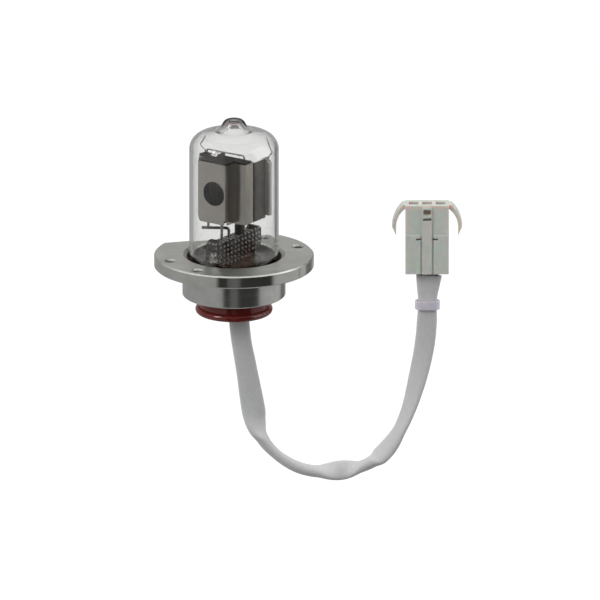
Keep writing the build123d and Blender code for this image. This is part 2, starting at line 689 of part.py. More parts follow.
# Rear cover: a shallow folded tray on the back of the frame, low but for an ear at its right end
with BuildPart() as rear_cover:
    with BuildSketch(electrode_level(rear_cover_bottom_z)):
        with BuildLine():
            FilletPolyline(
                (frame_left_x + REAR_LIP, frame_back_y + SHEET / 2),
                (rear_cover_left_x + SHEET / 2, frame_back_y + SHEET / 2),
                (rear_cover_left_x + SHEET / 2, rear_cover_y - SHEET / 2),
                (rear_cover_right_x - SHEET / 2, rear_cover_y - SHEET / 2),
                (rear_cover_right_x - SHEET / 2, frame_back_y + SHEET / 2),
                (frame_right_x - REAR_LIP, frame_back_y + SHEET / 2),
                radius=BEND_RADIUS,
            )
        trace(line_width=SHEET)
    extrude(amount=side_plate_top_z - rear_cover_bottom_z)
    with BuildSketch(electrode_face(frame_back_y - SHEET, frame_top_z)):
        with Locations((rear_ear_x, 0)):
            Rectangle(
                2 * BULB_DIAMETER, FRAME_TOP_DROP, align=(Align.MAX, Align.MIN)
            )
    extrude(amount=-REAR_COVER_DEPTH - 2 * SHEET, mode=Mode.SUBTRACT)
    with BuildSketch(electrode_face(frame_back_y - SHEET, 0)):
        for corner_x, corner_z, side in (
            (rear_cover_left_x, frame_top_z, -1),
            (rear_cover_right_x, side_plate_top_z, 1),
        ):
            with BuildLine():
                Polyline(
                    (corner_x, corner_z - REAR_CORNER_CUT),
                    (corner_x - side * REAR_CORNER_CUT, corner_z),
                    (corner_x - side * REAR_CORNER_CUT, corner_z + REAR_CORNER_CUT),
                    (corner_x + side * REAR_CORNER_CUT, corner_z + REAR_CORNER_CUT),
                    (corner_x + side * REAR_CORNER_CUT, corner_z - REAR_CORNER_CUT),
                    close=True,
                )
            make_face()
    extrude(amount=-REAR_COVER_DEPTH - 2 * SHEET, mode=Mode.SUBTRACT)
rear_cover.part.label = "rear_cover"
export_step(rear_cover.part, "parts/rear_cover.step")


# Spacers: the plates that close the box at its bottom and top, the upper one with a lip
spacer_back_y = box_back_y - SHEET
spacer_front_y = web_y + SHEET
wide_front_y = wing_y + SHEET + SPACER_CORNER_CUT
spacer_front_x = WEB_HALF_WIDTH - SHEET - SPACER_CORNER_CUT
spacer_left_x = left_x + SHEET
spacer_right_x = wing_x - SHEET
spacer_outline = [
    (spacer_front_x, spacer_front_y),
    (spacer_front_x, wide_front_y),
    (spacer_right_x, wide_front_y),
    (spacer_right_x, spacer_back_y - SPACER_CORNER_CUT),
    (spacer_right_x - SPACER_CORNER_CUT, spacer_back_y),
    (spacer_left_x + SPACER_CORNER_CUT, spacer_back_y),
    (spacer_left_x, spacer_back_y - SPACER_CORNER_CUT),
    (spacer_left_x, wide_front_y),
    (-spacer_front_x, wide_front_y),
    (-spacer_front_x, spacer_front_y),
]
with BuildPart() as lower_spacer:
    with BuildSketch(electrode_level(lower_spacer_z)):
        with BuildLine():
            Polyline(*spacer_outline, close=True)
        make_face()
        with Locations((filament_x, filament_y)):
            Circle(FILAMENT_POST_DIAMETER / 2, mode=Mode.SUBTRACT)
    extrude(amount=SPACER_THICKNESS)
lower_spacer.part.label = "lower_spacer"
export_step(lower_spacer.part, "parts/lower_spacer.step")

lip_back_y = box_back_y - TOP_PLATE_SETBACK
lip_corner_x = WEB_HALF_WIDTH - SPACER_CORNER_CUT
lip_corner_y = web_y + SPACER_CORNER_CUT
with BuildPart() as upper_spacer:
    with BuildSketch(electrode_level(upper_spacer_z)):
        with BuildLine():
            Polyline(*spacer_outline, close=True)
        make_face()
    extrude(amount=top_plate_z - upper_spacer_z)
    with BuildSketch(electrode_level(top_plate_z)):
        with BuildLine():
            Polyline(
                (lip_corner_x, web_y),
                (WEB_HALF_WIDTH, lip_corner_y),
                (WEB_HALF_WIDTH, wing_y),
                (wing_x, wing_y),
                (wing_x, lip_back_y),
                (left_x, lip_back_y),
                (left_x, wing_y),
                (-WEB_HALF_WIDTH, wing_y),
                (-WEB_HALF_WIDTH, lip_corner_y),
                (-lip_corner_x, web_y),
                close=True,
            )
        make_face()
    extrude(amount=TOP_PLATE_THICKNESS)
upper_spacer.part.label = "upper_spacer"
export_step(upper_spacer.part, "parts/upper_spacer.step")


# Aperture plate: stands across the box against its back, with a coned pinhole
inner_height = upper_spacer_z - lower_spacer_top_z
inner_middle_z = (upper_spacer_z + lower_spacer_top_z) / 2
with BuildPart() as aperture_plate:
    with BuildSketch(electrode_face(aperture_front_y, inner_middle_z)):
        with Locations(((spacer_left_x + spacer_right_x) / 2, 0)):
            Rectangle(spacer_right_x - spacer_left_x - 2 * SPACER_CORNER_CUT, inner_height)
    extrude(amount=-APERTURE_PLATE_THICKNESS)
    with Locations(electrode_face(aperture_front_y, LIGHT_CENTRE_Z)):
        CounterSinkHole(APERTURE_DIAMETER / 2, APERTURE_CONE_DIAMETER / 2, counter_sink_angle=90)
aperture_plate.part.label = "aperture_plate"
export_step(aperture_plate.part, "parts/aperture_plate.step")


# Cathode baffle: a strip between the filament and the opening
with BuildPart() as cathode_baffle:
    with BuildSketch(electrode_level(lower_spacer_top_z)):
        with Locations((BAFFLE_X, (BAFFLE_FRONT_Y + aperture_front_y) / 2)):
            Rectangle(SHEET, aperture_front_y - BAFFLE_FRONT_Y)
    extrude(amount=inner_height)
cathode_baffle.part.label = "cathode_baffle"
export_step(cathode_baffle.part, "parts/cathode_baffle.step")


# Anode: a plate behind the pinhole, seated on the anode lead
with BuildPart() as anode_plate:
    with BuildSketch(electrode_face(anode_back_y, LIGHT_CENTRE_Z)):
        RectangleRounded(ANODE_SIZE, ANODE_SIZE, ANODE_SIZE / 8)
    extrude(amount=ANODE_THICKNESS)
anode_plate.part.label = "anode_plate"
export_step(anode_plate.part, "parts/anode_plate.step")


# Filament post: welded upright on the cathode lead's arm, up to the filament
filament_bottom_z = LIGHT_CENTRE_Z - filament_half_height - FILAMENT_TURN_PITCH
with BuildPart() as filament_post:
    with BuildSketch(electrode_level(CATHODE_ARM_Z)):
        with Locations((filament_x, filament_y)):
            Circle(FILAMENT_POST_DIAMETER / 2)
    extrude(amount=filament_bottom_z - CATHODE_ARM_Z)
    add(cathode_lead.part, mode=Mode.SUBTRACT)
filament_post.part.label = "filament_post"
export_step(filament_post.part, "parts/filament_post.step")


# Filament: close turns on one axis, with a straight leg up to the upper spacer
filament_axis = Axis(electrode_plane.from_local_coords((filament_x, filament_y, 0)), (0, 0, 1))
filament_plane = Plane(
    origin=filament_axis.position,
    x_dir=electrode_x,
    z_dir=(-electrode_y[0], -electrode_y[1], 0),
)
with BuildPart() as filament:
    with BuildSketch(filament_plane):
        with Locations((FILAMENT_LEG_RADIUS / 2, (filament_bottom_z + upper_spacer_z) / 2)):
            Rectangle(FILAMENT_LEG_RADIUS, upper_spacer_z - filament_bottom_z)
        for turn in range(FILAMENT_TURNS):
            turn_z = LIGHT_CENTRE_Z - filament_half_height + (turn + 0.5) * FILAMENT_TURN_PITCH
            with Locations((FILAMENT_TURN_RADIUS / 2, turn_z)):
                Rectangle(FILAMENT_TURN_RADIUS, FILAMENT_TURN_PITCH / 2)
    revolve(axis=filament_axis)
filament.part.label = "filament"
export_step(filament.part, "parts/filament.step")


# Wire bail on the upper spacer, with the tab that stands under it
top_bail = round_wire(
    electrode_plane,
    [
        (-BAIL_HALF_WIDTH, BAIL_Y, upper_spacer_top_z),
        (-BAIL_HALF_WIDTH, BAIL_Y, bail_z),
        (BAIL_HALF_WIDTH, BAIL_Y, bail_z),
        (BAIL_HALF_WIDTH, BAIL_Y, upper_spacer_top_z),
    ],
    BAIL_DIAMETER,
    BAIL_BEND,
)
top_bail.part.label = "top_bail"
export_step(top_bail.part, "parts/top_bail.step")

with BuildPart() as bail_tab:
    with BuildSketch(electrode_level(upper_spacer_top_z)):
        with Locations((TAB_INNER_X, BAIL_Y + BAIL_DIAMETER / 2)):
            Rectangle(TAB_INNER_X - TAB_OUTER_X, TAB_THICKNESS, align=(Align.MAX, Align.MIN))
    extrude(amount=bail_z - upper_spacer_top_z)
bail_tab.part.label = "bail_tab"
export_step(bail_tab.part, "parts/bail_tab.step")


# Springs: two thin bent wires that steady the assembly against the inside of the bulb's crown
shoulder_inner_round = BULB_SHOULDER_ROUND - BULB_WALL
spring_tip_radius = bulb_radius - BULB_SHOULDER_ROUND + shoulder_inner_round * sin(radians(CROWN_SLOPE))
spring_tip_z = BULB_SHOULDER_Z + shoulder_inner_round * cos(radians(CROWN_SLOPE)) - SPRING_TIP_GAP
spring_elbow_radius = bulb_inner_radius - FRONT_GLASS_GAP - SPRING_DIAMETER
right_spring_y = rear_cover_y + SPRING_DIAMETER / 2
right_tip_x = sqrt(spring_tip_radius**2 - right_spring_y**2)
right_elbow_x = min(
    right_tip_x + RIGHT_SPRING_OUT, sqrt(spring_elbow_radius**2 - right_spring_y**2)
)
right_foot_z = side_plate_top_z - RIGHT_SPRING_BELOW
right_spring = round_wire(
    electrode_plane,
    [
        (right_foot_x, right_spring_y, right_foot_z - SPRING_FOOT_LENGTH),
        (right_foot_x, right_spring_y, right_foot_z),
        (right_elbow_x, right_spring_y, side_plate_top_z + RIGHT_SPRING_ABOVE),
        (right_tip_x, right_spring_y, spring_tip_z),
    ],
    SPRING_DIAMETER,
    SPRING_BEND,
)
right_spring.part.label = "right_spring"
export_step(right_spring.part, "parts/right_spring.step")

left_elbow_x = LEFT_SPRING_X - LEFT_SPRING_OUT
left_tip_radius = sqrt(LEFT_TIP_X**2 + LEFT_SPRING_Y**2)
left_tip_z = inner_crown_z + (bulb_radius - left_tip_radius) * crown_rise - SPRING_TIP_GAP
left_elbow_z = left_tip_z - LEFT_SPRING_DROP
left_spring = round_wire(
    electrode_plane,
    [
        (LEFT_SPRING_X, LEFT_SPRING_Y, upper_spacer_top_z),
        (LEFT_SPRING_X, LEFT_SPRING_Y, upper_spacer_top_z + LEFT_SPRING_RISE),
        (left_elbow_x, LEFT_SPRING_Y, left_elbow_z),
        (left_elbow_x, LEFT_SPRING_Y, left_elbow_z + LEFT_SPRING_ELBOW),
        (LEFT_TIP_X, LEFT_SPRING_Y, left_tip_z),
    ],
    SPRING_DIAMETER,
    SPRING_BEND / 2,
)
left_spring.part.label = "left_spring"
export_step(left_spring.part, "parts/left_spring.step")


# Silicone plug: held in the holder's lip by its flange, with a rolled bead below
bead_centre_radius = PLUG_NECK_RADIUS + PLUG_BEAD_OVERHANG - PLUG_BEAD_RADIUS
neck_meets_bead_z = plug_bead_z + sqrt(PLUG_BEAD_RADIUS**2 - (PLUG_NECK_RADIUS - bead_centre_radius) ** 2)
plug_flange_radius = PLUG_NECK_RADIUS + PLUG_FLANGE_WIDTH
sleeve_start = SLEEVE_ROUTE[0]
wire_places = [
    (sleeve_start[0] + (number - (CIRCUITS - 1) / 2) * WIRE_PITCH, 0) for number in range(CIRCUITS)
]
with BuildPart() as silicone_plug:
    with BuildSketch(Plane.XZ):
        with BuildLine():
            Polyline(
                (0, plug_bottom_z),
                (0, plug_top_z),
                (plug_flange_radius, plug_top_z),
                (plug_flange_radius, lip_top_z),
                (PLUG_NECK_RADIUS, lip_top_z),
                (PLUG_NECK_RADIUS, neck_meets_bead_z),
            )
            ThreePointArc(
                (PLUG_NECK_RADIUS, neck_meets_bead_z),
                (bead_centre_radius + PLUG_BEAD_RADIUS, plug_bead_z),
                (bead_centre_radius, plug_bottom_z),
            )
            Line((bead_centre_radius, plug_bottom_z), (0, plug_bottom_z))
        make_face()
    revolve(axis=Axis.Z)
    with BuildSketch(Plane.XY.offset(plug_floor_z)):
        Circle(PLUG_RECESS_RADIUS)
    extrude(amount=plug_top_z - plug_floor_z, mode=Mode.SUBTRACT)
    with BuildSketch(lead_level(plug_bottom_z)):
        with Locations((sleeve_start[0], 0)):
            SlotOverall(SLEEVE_WIDTH, SLEEVE_THICKNESS)
    extrude(amount=PLUG_SLOT_DEPTH, mode=Mode.SUBTRACT)
    with BuildSketch(lead_level(plug_bottom_z)):
        with Locations(*wire_places):
            Circle(WIRE_DIAMETER / 2)
    extrude(amount=plug_floor_z - plug_bottom_z, mode=Mode.SUBTRACT)
silicone_plug.part.label = "silicone_plug"
export_step(silicone_plug.part, "parts/silicone_plug.step")


# Base cement: a collar that beds the bulb's foot in the holder, above the plug
with BuildPart() as base_cement:
    with BuildSketch(Plane.XZ):
        with BuildLine():
            Polyline(
                (CEMENT_OPENING_RADIUS, stem_bottom_z),
                (foot_radius, stem_bottom_z),
                (holder_crest_radius, groove_bottom_z),
                (holder_crest_radius, plug_top_z),
                (CEMENT_OPENING_RADIUS, plug_top_z),
                close=True,
            )
        make_face()
    revolve(axis=Axis.Z)
base_cement.part.label = "base_cement"
export_step(base_cement.part, "parts/base_cement.step")


# Crimp ferrules: join three of the leads to the flexible wires inside the base
ferrule_leads = [FRONT_LEAD_Y, CATHODE_LEAD_Y, ANODE_LEAD_Y]
with BuildPart() as crimp_ferrules:
    with BuildSketch(electrode_level(ferrule_bottom_z)):
        with Locations(*[(0, y) for y in ferrule_leads]):
            Circle(FERRULE_DIAMETER / 2)
    extrude(amount=FERRULE_LENGTH)
    with BuildSketch(electrode_level(LEAD_TAIL_Z)):
        with Locations(*[(0, y) for y in ferrule_leads]):
            Circle(LEAD_DIAMETER / 2)
    extrude(amount=FERRULE_OVERLAP, mode=Mode.SUBTRACT)
crimp_ferrules.part.label = "crimp_ferrules"
export_step(crimp_ferrules.part, "parts/crimp_ferrules.step")


# Base wires: from the ferrules through the plug to the start of the sleeve
base_wire_parts = []
for lead_y, wire_place, drop in zip(ferrule_leads, wire_places, BASE_WIRE_DROPS):
    top = electrode_plane.from_local_coords((0, lead_y, ferrule_bottom_z))
    end = lead_level(plug_bottom_z + PLUG_SLOT_DEPTH).from_local_coords((*wire_place, 0))
    base_wire = round_wire(
        Plane.XY,
        [
            (top.X, top.Y, top.Z),
            (top.X, top.Y, top.Z - drop),
            (end.X, end.Y, plug_floor_z + BASE_WIRE_END),
            (end.X, end.Y, end.Z),
        ],
        WIRE_DIAMETER,
        WIRE_BEND,
    )
    base_wire_parts.append(base_wire.part)
with BuildPart() as base_wires:
    add(base_wire_parts)
base_wires.part.label = "base_wires"
export_step(base_wires.part, "parts/base_wires.step")


# Lead sleeve: flat woven sleeving with the wires inside, along straight runs and tangent arcs
sleeve_radii = route_radii(SLEEVE_ROUTE)
with BuildPart() as lead_sleeve:
    with BuildLine(lead_plane):
        sleeve_path = FilletPolyline(*SLEEVE_ROUTE, radius=sleeve_radii)
    with BuildSketch(Plane(origin=sleeve_path @ 0, x_dir=lead_out, z_dir=sleeve_path % 0)):
        SlotOverall(SLEEVE_WIDTH, SLEEVE_THICKNESS)
    sweep()
lead_sleeve.part.label = "lead_sleeve"
export_step(lead_sleeve.part, "parts/lead_sleeve.step")
sleeve_length = sleeve_path.length
sleeve_section = (SLEEVE_WIDTH - SLEEVE_THICKNESS) * SLEEVE_THICKNESS + pi * SLEEVE_THICKNESS**2 / 4
print("sleeve arc radii", [round(radius, 1) for radius in sleeve_radii])
print("sleeve length", round(sleeve_length, 2))
print("sleeve volume ratio", round(lead_sleeve.part.volume / (sleeve_section * sleeve_length), 4))


# Band: a soft translucent ring shrunk on the sleeve below the connector
band_out = SLEEVE_ROUTE[-2][0]
with BuildPart() as sleeve_band:
    with BuildSketch(lead_level(BAND_Z - BAND_HEIGHT / 2)):
        with Locations((band_out, 0)):
            SlotOverall(SLEEVE_WIDTH + 2 * BAND_WALL, SLEEVE_THICKNESS + 2 * BAND_WALL)
    extrude(amount=BAND_HEIGHT)
    add(lead_sleeve.part, mode=Mode.SUBTRACT)
sleeve_band.part.label = "sleeve_band"
export_step(sleeve_band.part, "parts/sleeve_band.step")


# Connector wires: spread from the end of the sleeve into the housing's cavities
sleeve_end = SLEEVE_ROUTE[-1]
connector_wire_parts = []
for number, (circuit_out, _) in enumerate(circuit_places):
    start_out = sleeve_end[0] + (number - (CIRCUITS - 1) / 2) * WIRE_PITCH
    points = [
        (start_out, sleeve_end[1]),
        (circuit_out, HOUSING_BOTTOM_Z + ENTRY_HEIGHT - WIRE_DIAMETER / 2),
        (circuit_out, contact_bottom_z),
    ]
    if abs(start_out - circuit_out) < HOUSING_ROUND / 4:
        points = [points[0], points[2]]
    connector_wire_parts.append(round_wire(lead_plane, points, WIRE_DIAMETER, WIRE_BEND).part)
with BuildPart() as connector_wires:
    add(connector_wire_parts)
    add(lead_sleeve.part, mode=Mode.SUBTRACT)
connector_wires.part.label = "connector_wires"
export_step(connector_wires.part, "parts/connector_wires.step")


# Connector housing: moulded in one with its two springy arms
front_y = -HOUSING_DEPTH / 2
housing_face = Plane(
    origin=lead_level(housing_top_z).from_local_coords((HOUSING_OUT, front_y, 0)),
    x_dir=lead_out,
    z_dir=lead_front,
)
arm_tip_x = housing_half_width + ARM_SPREAD - ARM_THICKNESS
arm_top_x = housing_half_width + ARM_ROOT_OUT
with BuildPart() as connector_housing:
    with BuildSketch(lead_level(HOUSING_BOTTOM_Z)):
        with Locations((HOUSING_OUT, 0)):
            RectangleRounded(HOUSING_WIDTH, HOUSING_DEPTH, HOUSING_ROUND)
    extrude(amount=HOUSING_HEIGHT)
    with BuildSketch(housing_face):
        with Locations((0, -(RIB_TOP_DROP + HOUSING_HEIGHT) / 2)):
            Rectangle(RIB_WIDTH, HOUSING_HEIGHT - RIB_TOP_DROP)
    extrude(amount=RIB_RISE)
    with BuildSketch(housing_face):
        with Locations((-SHELF_OUT, -HOUSING_HEIGHT), (SHELF_OUT, -HOUSING_HEIGHT)):
            Rectangle(
                SHELF_WIDTH, HOUSING_HEIGHT - SHELF_DROP, align=(Align.CENTER, Align.MIN)
            )
    extrude(amount=SHELF_STEP)
    for side in (-1, 1):
        with BuildSketch(housing_face.offset(-(HOUSING_DEPTH - ARM_DEPTH) / 2)):
            with BuildLine():
                Line((side * (housing_half_width - HOUSING_ROUND), 0), (side * arm_top_x, 0))
                ThreePointArc(
                    (side * arm_top_x, 0),
                    (
                        side * ((arm_top_x + housing_half_width + ARM_SPREAD) / 2 + ARM_BOW),
                        -ARM_ELBOW_DROP / 2 + ARM_BOW,
                    ),
                    (side * (housing_half_width + ARM_SPREAD), -ARM_ELBOW_DROP),
                )
                Polyline(
                    (side * (housing_half_width + ARM_SPREAD), -ARM_ELBOW_DROP),
                    (side * arm_tip_x, -ARM_TIP_DROP),
                    (side * arm_tip_x, -ARM_ELBOW_DROP),
                )
                ThreePointArc(
                    (side * arm_tip_x, -ARM_ELBOW_DROP),
                    (
                        side * ((arm_tip_x + housing_half_width) / 2 + ARM_BOW),
                        -(ARM_ELBOW_DROP + ARM_ROOT_HEIGHT) / 2 + ARM_BOW,
                    ),
                    (side * housing_half_width, -ARM_ROOT_HEIGHT),
                )
                Polyline(
                    (side * housing_half_width, -ARM_ROOT_HEIGHT),
                    (side * (housing_half_width - HOUSING_ROUND), -ARM_ROOT_HEIGHT),
                    (side * (housing_half_width - HOUSING_ROUND), 0),
                )
            make_face()
        extrude(amount=-ARM_DEPTH)
    with BuildSketch(lead_level(HOUSING_BOTTOM_Z)):
        with Locations(*circuit_places):
            Rectangle(CAVITY_SIZE, CAVITY_SIZE)
    extrude(amount=HOUSING_HEIGHT, mode=Mode.SUBTRACT)
    with BuildSketch(lead_level(HOUSING_BOTTOM_Z)):
        with Locations((HOUSING_OUT, 0)):
            Rectangle(ENTRY_WIDTH, ENTRY_DEPTH)
    extrude(amount=ENTRY_HEIGHT, mode=Mode.SUBTRACT)
    with BuildSketch(housing_face.offset(RIB_RISE)):
        with Locations((0, -WINDOW_DROP - WINDOW_HEIGHT / 2)):
            Rectangle(WINDOW_WIDTH, WINDOW_HEIGHT)
        with Locations((0, -CATCH_DROP - CATCH_HEIGHT / 2)):
            Rectangle(CATCH_WIDTH, CATCH_HEIGHT)
        with Locations((-LANCE_SLOT_OUT, -LANCE_SLOT_DROP), (LANCE_SLOT_OUT, -LANCE_SLOT_DROP)):
            Rectangle(LANCE_SLOT_WIDTH, LANCE_SLOT_HEIGHT)
    extrude(amount=-(HOUSING_DEPTH - CAVITY_SIZE) / 2 - RIB_RISE, mode=Mode.SUBTRACT)
connector_housing.part.label = "connector_housing"
export_step(connector_housing.part, "parts/connector_housing.step")


# Socket contacts: folded square tubes in the cavities, seated on the ends of the wires
with BuildPart() as socket_contacts:
    with BuildSketch(lead_level(contact_bottom_z)):
        with Locations(*circuit_places):
            Rectangle(contact_size, contact_size)
    extrude(amount=CONTACT_LENGTH)
    with BuildSketch(lead_level(contact_bottom_z + CONTACT_WALL)):
        with Locations(*circuit_places):
            Rectangle(contact_size - 2 * CONTACT_WALL, contact_size - 2 * CONTACT_WALL)
    extrude(amount=CONTACT_LENGTH, mode=Mode.SUBTRACT)
socket_contacts.part.label = "socket_contacts"
export_step(socket_contacts.part, "parts/socket_contacts.step")
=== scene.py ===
"""Looks for a deuterium lamp: glass bulb, steel flange, red plug and a sleeved lead."""

import math

import bmesh
import bpy
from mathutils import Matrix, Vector


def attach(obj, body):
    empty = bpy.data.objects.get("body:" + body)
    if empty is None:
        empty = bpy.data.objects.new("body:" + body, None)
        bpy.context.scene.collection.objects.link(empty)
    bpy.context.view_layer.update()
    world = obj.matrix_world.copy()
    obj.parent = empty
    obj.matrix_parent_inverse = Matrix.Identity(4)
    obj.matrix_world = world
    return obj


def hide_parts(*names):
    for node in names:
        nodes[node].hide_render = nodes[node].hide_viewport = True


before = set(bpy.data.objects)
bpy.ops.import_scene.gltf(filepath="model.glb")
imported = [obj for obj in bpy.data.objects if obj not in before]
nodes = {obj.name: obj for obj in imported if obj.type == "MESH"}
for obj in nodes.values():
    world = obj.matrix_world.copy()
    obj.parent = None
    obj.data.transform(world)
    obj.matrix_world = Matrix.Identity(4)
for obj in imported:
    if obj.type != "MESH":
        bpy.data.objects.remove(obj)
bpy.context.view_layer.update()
MM = 0.001
UP = Vector((0, 0, 1))


def add_object(name, data):
    """A new object in the scene."""
    item = bpy.data.objects.new(name, data)
    bpy.context.scene.collection.objects.link(item)
    return item


def look_back(item, direction):
    """Turns a camera or light to look against a direction."""
    item.rotation_mode = "QUATERNION"
    item.rotation_quaternion = direction.to_track_quat("Z", "Y")


def level_directions(degrees):
    """The level directions along an upright plane at this angle and out of its front."""
    turn = math.radians(degrees)
    return Vector((math.cos(turn), math.sin(turn), 0)), Vector((math.sin(turn), -math.cos(turn), 0))


# Camera: a parallel view at the photograph's angle
AZIMUTH = 50.5
ELEVATION = 17.0
VIEW_WIDTH = 187.7 * MM
VIEW_RIGHT = 20.64 * MM
VIEW_UP = -10.67 * MM
CAMERA_DISTANCE = 1.2

turn, rise = math.radians(AZIMUTH), math.radians(ELEVATION)
view_right, to_front = level_directions(AZIMUTH)
to_camera = Vector((math.sin(turn) * math.cos(rise), -math.cos(turn) * math.cos(rise), math.sin(rise)))
view_up = to_camera.cross(view_right)


def add_camera():
    """The scene's camera, aimed to the right of the lamp and below it."""
    data = bpy.data.cameras.new("camera")
    data.type = "ORTHO"
    data.ortho_scale = VIEW_WIDTH
    camera = add_object("camera", data)
    camera.location = view_right * VIEW_RIGHT + view_up * VIEW_UP + to_camera * CAMERA_DISTANCE
    look_back(camera, to_camera)
    bpy.context.scene.camera = camera


add_camera()

# Helpers for materials: those that add a pattern or a sum return its output, for the next to take

# Most of a noise pattern's values lie between these
NOISE_LOW, NOISE_HIGH = 0.3, 0.7
# Stretches object coordinates flat, to leave heights out
FLAT = (1, 1, 0)


def new_material(name):
    """A material with one principled shader."""
    material = bpy.data.materials.new(name)
    material.use_nodes = True
    tree = material.node_tree
    tree.nodes.clear()
    output = tree.nodes.new("ShaderNodeOutputMaterial")
    shader = tree.nodes.new("ShaderNodeBsdfPrincipled")
    tree.links.new(shader.outputs["BSDF"], output.inputs["Surface"])
    return material, tree, shader


def opened(material):
    """A material's node tree and its shader."""
    return material.node_tree, material.node_tree.nodes["Principled BSDF"]


def source_of(shader, socket):
    """The output that is linked to a shader's socket."""
    return shader.inputs[socket].links[0].from_socket


def set_sockets(shader, values):
    """Sets what is the same all over a surface."""
    for socket, value in values.items():
        shader.inputs[socket].default_value = value


def place(tree, scale=(1, 1, 1)):
    """Object coordinates, in metres, stretched by scale."""
    coordinates = tree.nodes.new("ShaderNodeTexCoord")
    mapping = tree.nodes.new("ShaderNodeMapping")
    mapping.inputs["Scale"].default_value = scale
    tree.links.new(coordinates.outputs["Object"], mapping.inputs["Vector"])
    return mapping.outputs["Vector"]


def height_of(tree):
    """The height above the lamp's origin, in metres."""
    coordinates = tree.nodes.new("ShaderNodeTexCoord")
    split = tree.nodes.new("ShaderNodeSeparateXYZ")
    tree.links.new(coordinates.outputs["Object"], split.inputs["Vector"])
    return split.outputs["Z"]


def noise(tree, vector, scale, detail=3.0, roughness=0.5):
    """A noise pattern's value, its scale in cells per metre."""
    node = tree.nodes.new("ShaderNodeTexNoise")
    node.inputs["Scale"].default_value = scale
    node.inputs["Detail"].default_value = detail
    node.inputs["Roughness"].default_value = roughness
    tree.links.new(vector, node.inputs["Vector"])
    return node.outputs["Fac"]


def ramp(tree, value, stops):
    """A colour ramp with the given (position, colour) stops."""
    node = tree.nodes.new("ShaderNodeValToRGB")
    for _ in range(len(stops) - 2):
        node.color_ramp.elements.new(0.5)
    for element, (position, colour) in zip(node.color_ramp.elements, stops):
        element.position = position
        element.color = (*colour, 1)
    tree.links.new(value, node.inputs["Fac"])
    return node.outputs["Color"]


def two_tone(tree, pattern, dark, light):
    """A noise pattern's colours."""
    return ramp(tree, pattern, [(NOISE_LOW, dark), (NOISE_HIGH, light)])


def spread(tree, value, low, high, start=NOISE_LOW, end=NOISE_HIGH):
    """Maps the range from start to end to the one from low to high, and holds it at its ends."""
    node = tree.nodes.new("ShaderNodeMapRange")
    node.inputs["From Min"].default_value = start
    node.inputs["From Max"].default_value = end
    node.inputs["To Min"].default_value = low
    node.inputs["To Max"].default_value = high
    tree.links.new(value, node.inputs["Value"])
    return node.outputs["Result"]


def bump(tree, shader, height, distance, strength=1.0):
    """Gives the shader a bump from a pattern, distance in metres."""
    node = tree.nodes.new("ShaderNodeBump")
    node.inputs["Distance"].default_value = distance
    node.inputs["Strength"].default_value = strength
    tree.links.new(height, node.inputs["Height"])
    tree.links.new(node.outputs["Normal"], shader.inputs["Normal"])


def blend(tree, share, first, second):
    """A mix of two colours, each a node's output or a plain colour."""
    node = tree.nodes.new("ShaderNodeMix")
    node.data_type = "RGBA"
    tree.links.new(share, node.inputs["Factor"])
    for name, colour in (("A", first), ("B", second)):
        if isinstance(colour, tuple):
            node.inputs[name].default_value = (*colour, 1)
        else:
            tree.links.new(colour, node.inputs[name])
    return node.outputs["Result"]


def maths(tree, operation, *values):
    """A math node, each value a number or a node's output."""
    node = tree.nodes.new("ShaderNodeMath")
    node.operation = operation
    for socket, value in zip(node.inputs, values):
        if isinstance(value, (int, float)):
            socket.default_value = value
        else:
            tree.links.new(value, socket)
    return node.outputs[0]


def vector_maths(tree, operation, vector, other=(0, 0, 0)):
    """A vector math node on a node's output and a plain vector."""
    node = tree.nodes.new("ShaderNodeVectorMath")
    node.operation = operation
    node.inputs[1].default_value = other
    tree.links.new(vector, node.inputs[0])
    gives_number = operation in ("DOT_PRODUCT", "DISTANCE", "LENGTH")
    return node.outputs["Value" if gives_number else "Vector"]


def along(tree, vector, axis):
    """How far a vector reaches along an axis."""
    return vector_maths(tree, "DOT_PRODUCT", vector, axis)


def ripple(tree, value, pitch, start=0.0):
    """A wave from 0 to 1 with a crest at start."""
    turns = 2 * math.pi / pitch
    phase = maths(tree, "MULTIPLY_ADD", value, turns, -start * turns)
    return maths(tree, "MULTIPLY_ADD", maths(tree, "COSINE", phase), 0.5, 0.5)


# Two recipes, one for metals and one for the rest, and the materials that need no more than that
CLOUD_SCALE = 160.0
FINE_DETAIL = 4.0
GRAIN_ROUGHNESS = 0.6
ROLLED = (1, 1, 0.03)


def metal(name, dark, light, rough, grain=(1, 1, 1), scale=900.0, depth=0.004 * MM, metallic=1.0):
    """A metal with clouded colour, and roughness and bump that follow its grain."""
    material, tree, shader = new_material(name)
    streaks = noise(tree, place(tree, grain), scale, FINE_DETAIL, GRAIN_ROUGHNESS)
    cloud = noise(tree, place(tree), CLOUD_SCALE)
    tree.links.new(two_tone(tree, cloud, dark, light), shader.inputs["Base Color"])
    tree.links.new(spread(tree, streaks, *rough), shader.inputs["Roughness"])
    set_sockets(shader, {"Metallic": metallic})
    bump(tree, shader, streaks, depth)
    return material


def plain(name, dark, light, rough, scale=700.0, depth=0.02 * MM, sockets=None):
    """A non-metal with fine speckle in its colour, roughness and bump."""
    material, tree, shader = new_material(name)
    speckle = noise(tree, place(tree), scale, FINE_DETAIL)
    tree.links.new(two_tone(tree, speckle, dark, light), shader.inputs["Base Color"])
    tree.links.new(spread(tree, speckle, *rough), shader.inputs["Roughness"])
    set_sockets(shader, sockets or {})
    bump(tree, shader, speckle, depth)
    return material


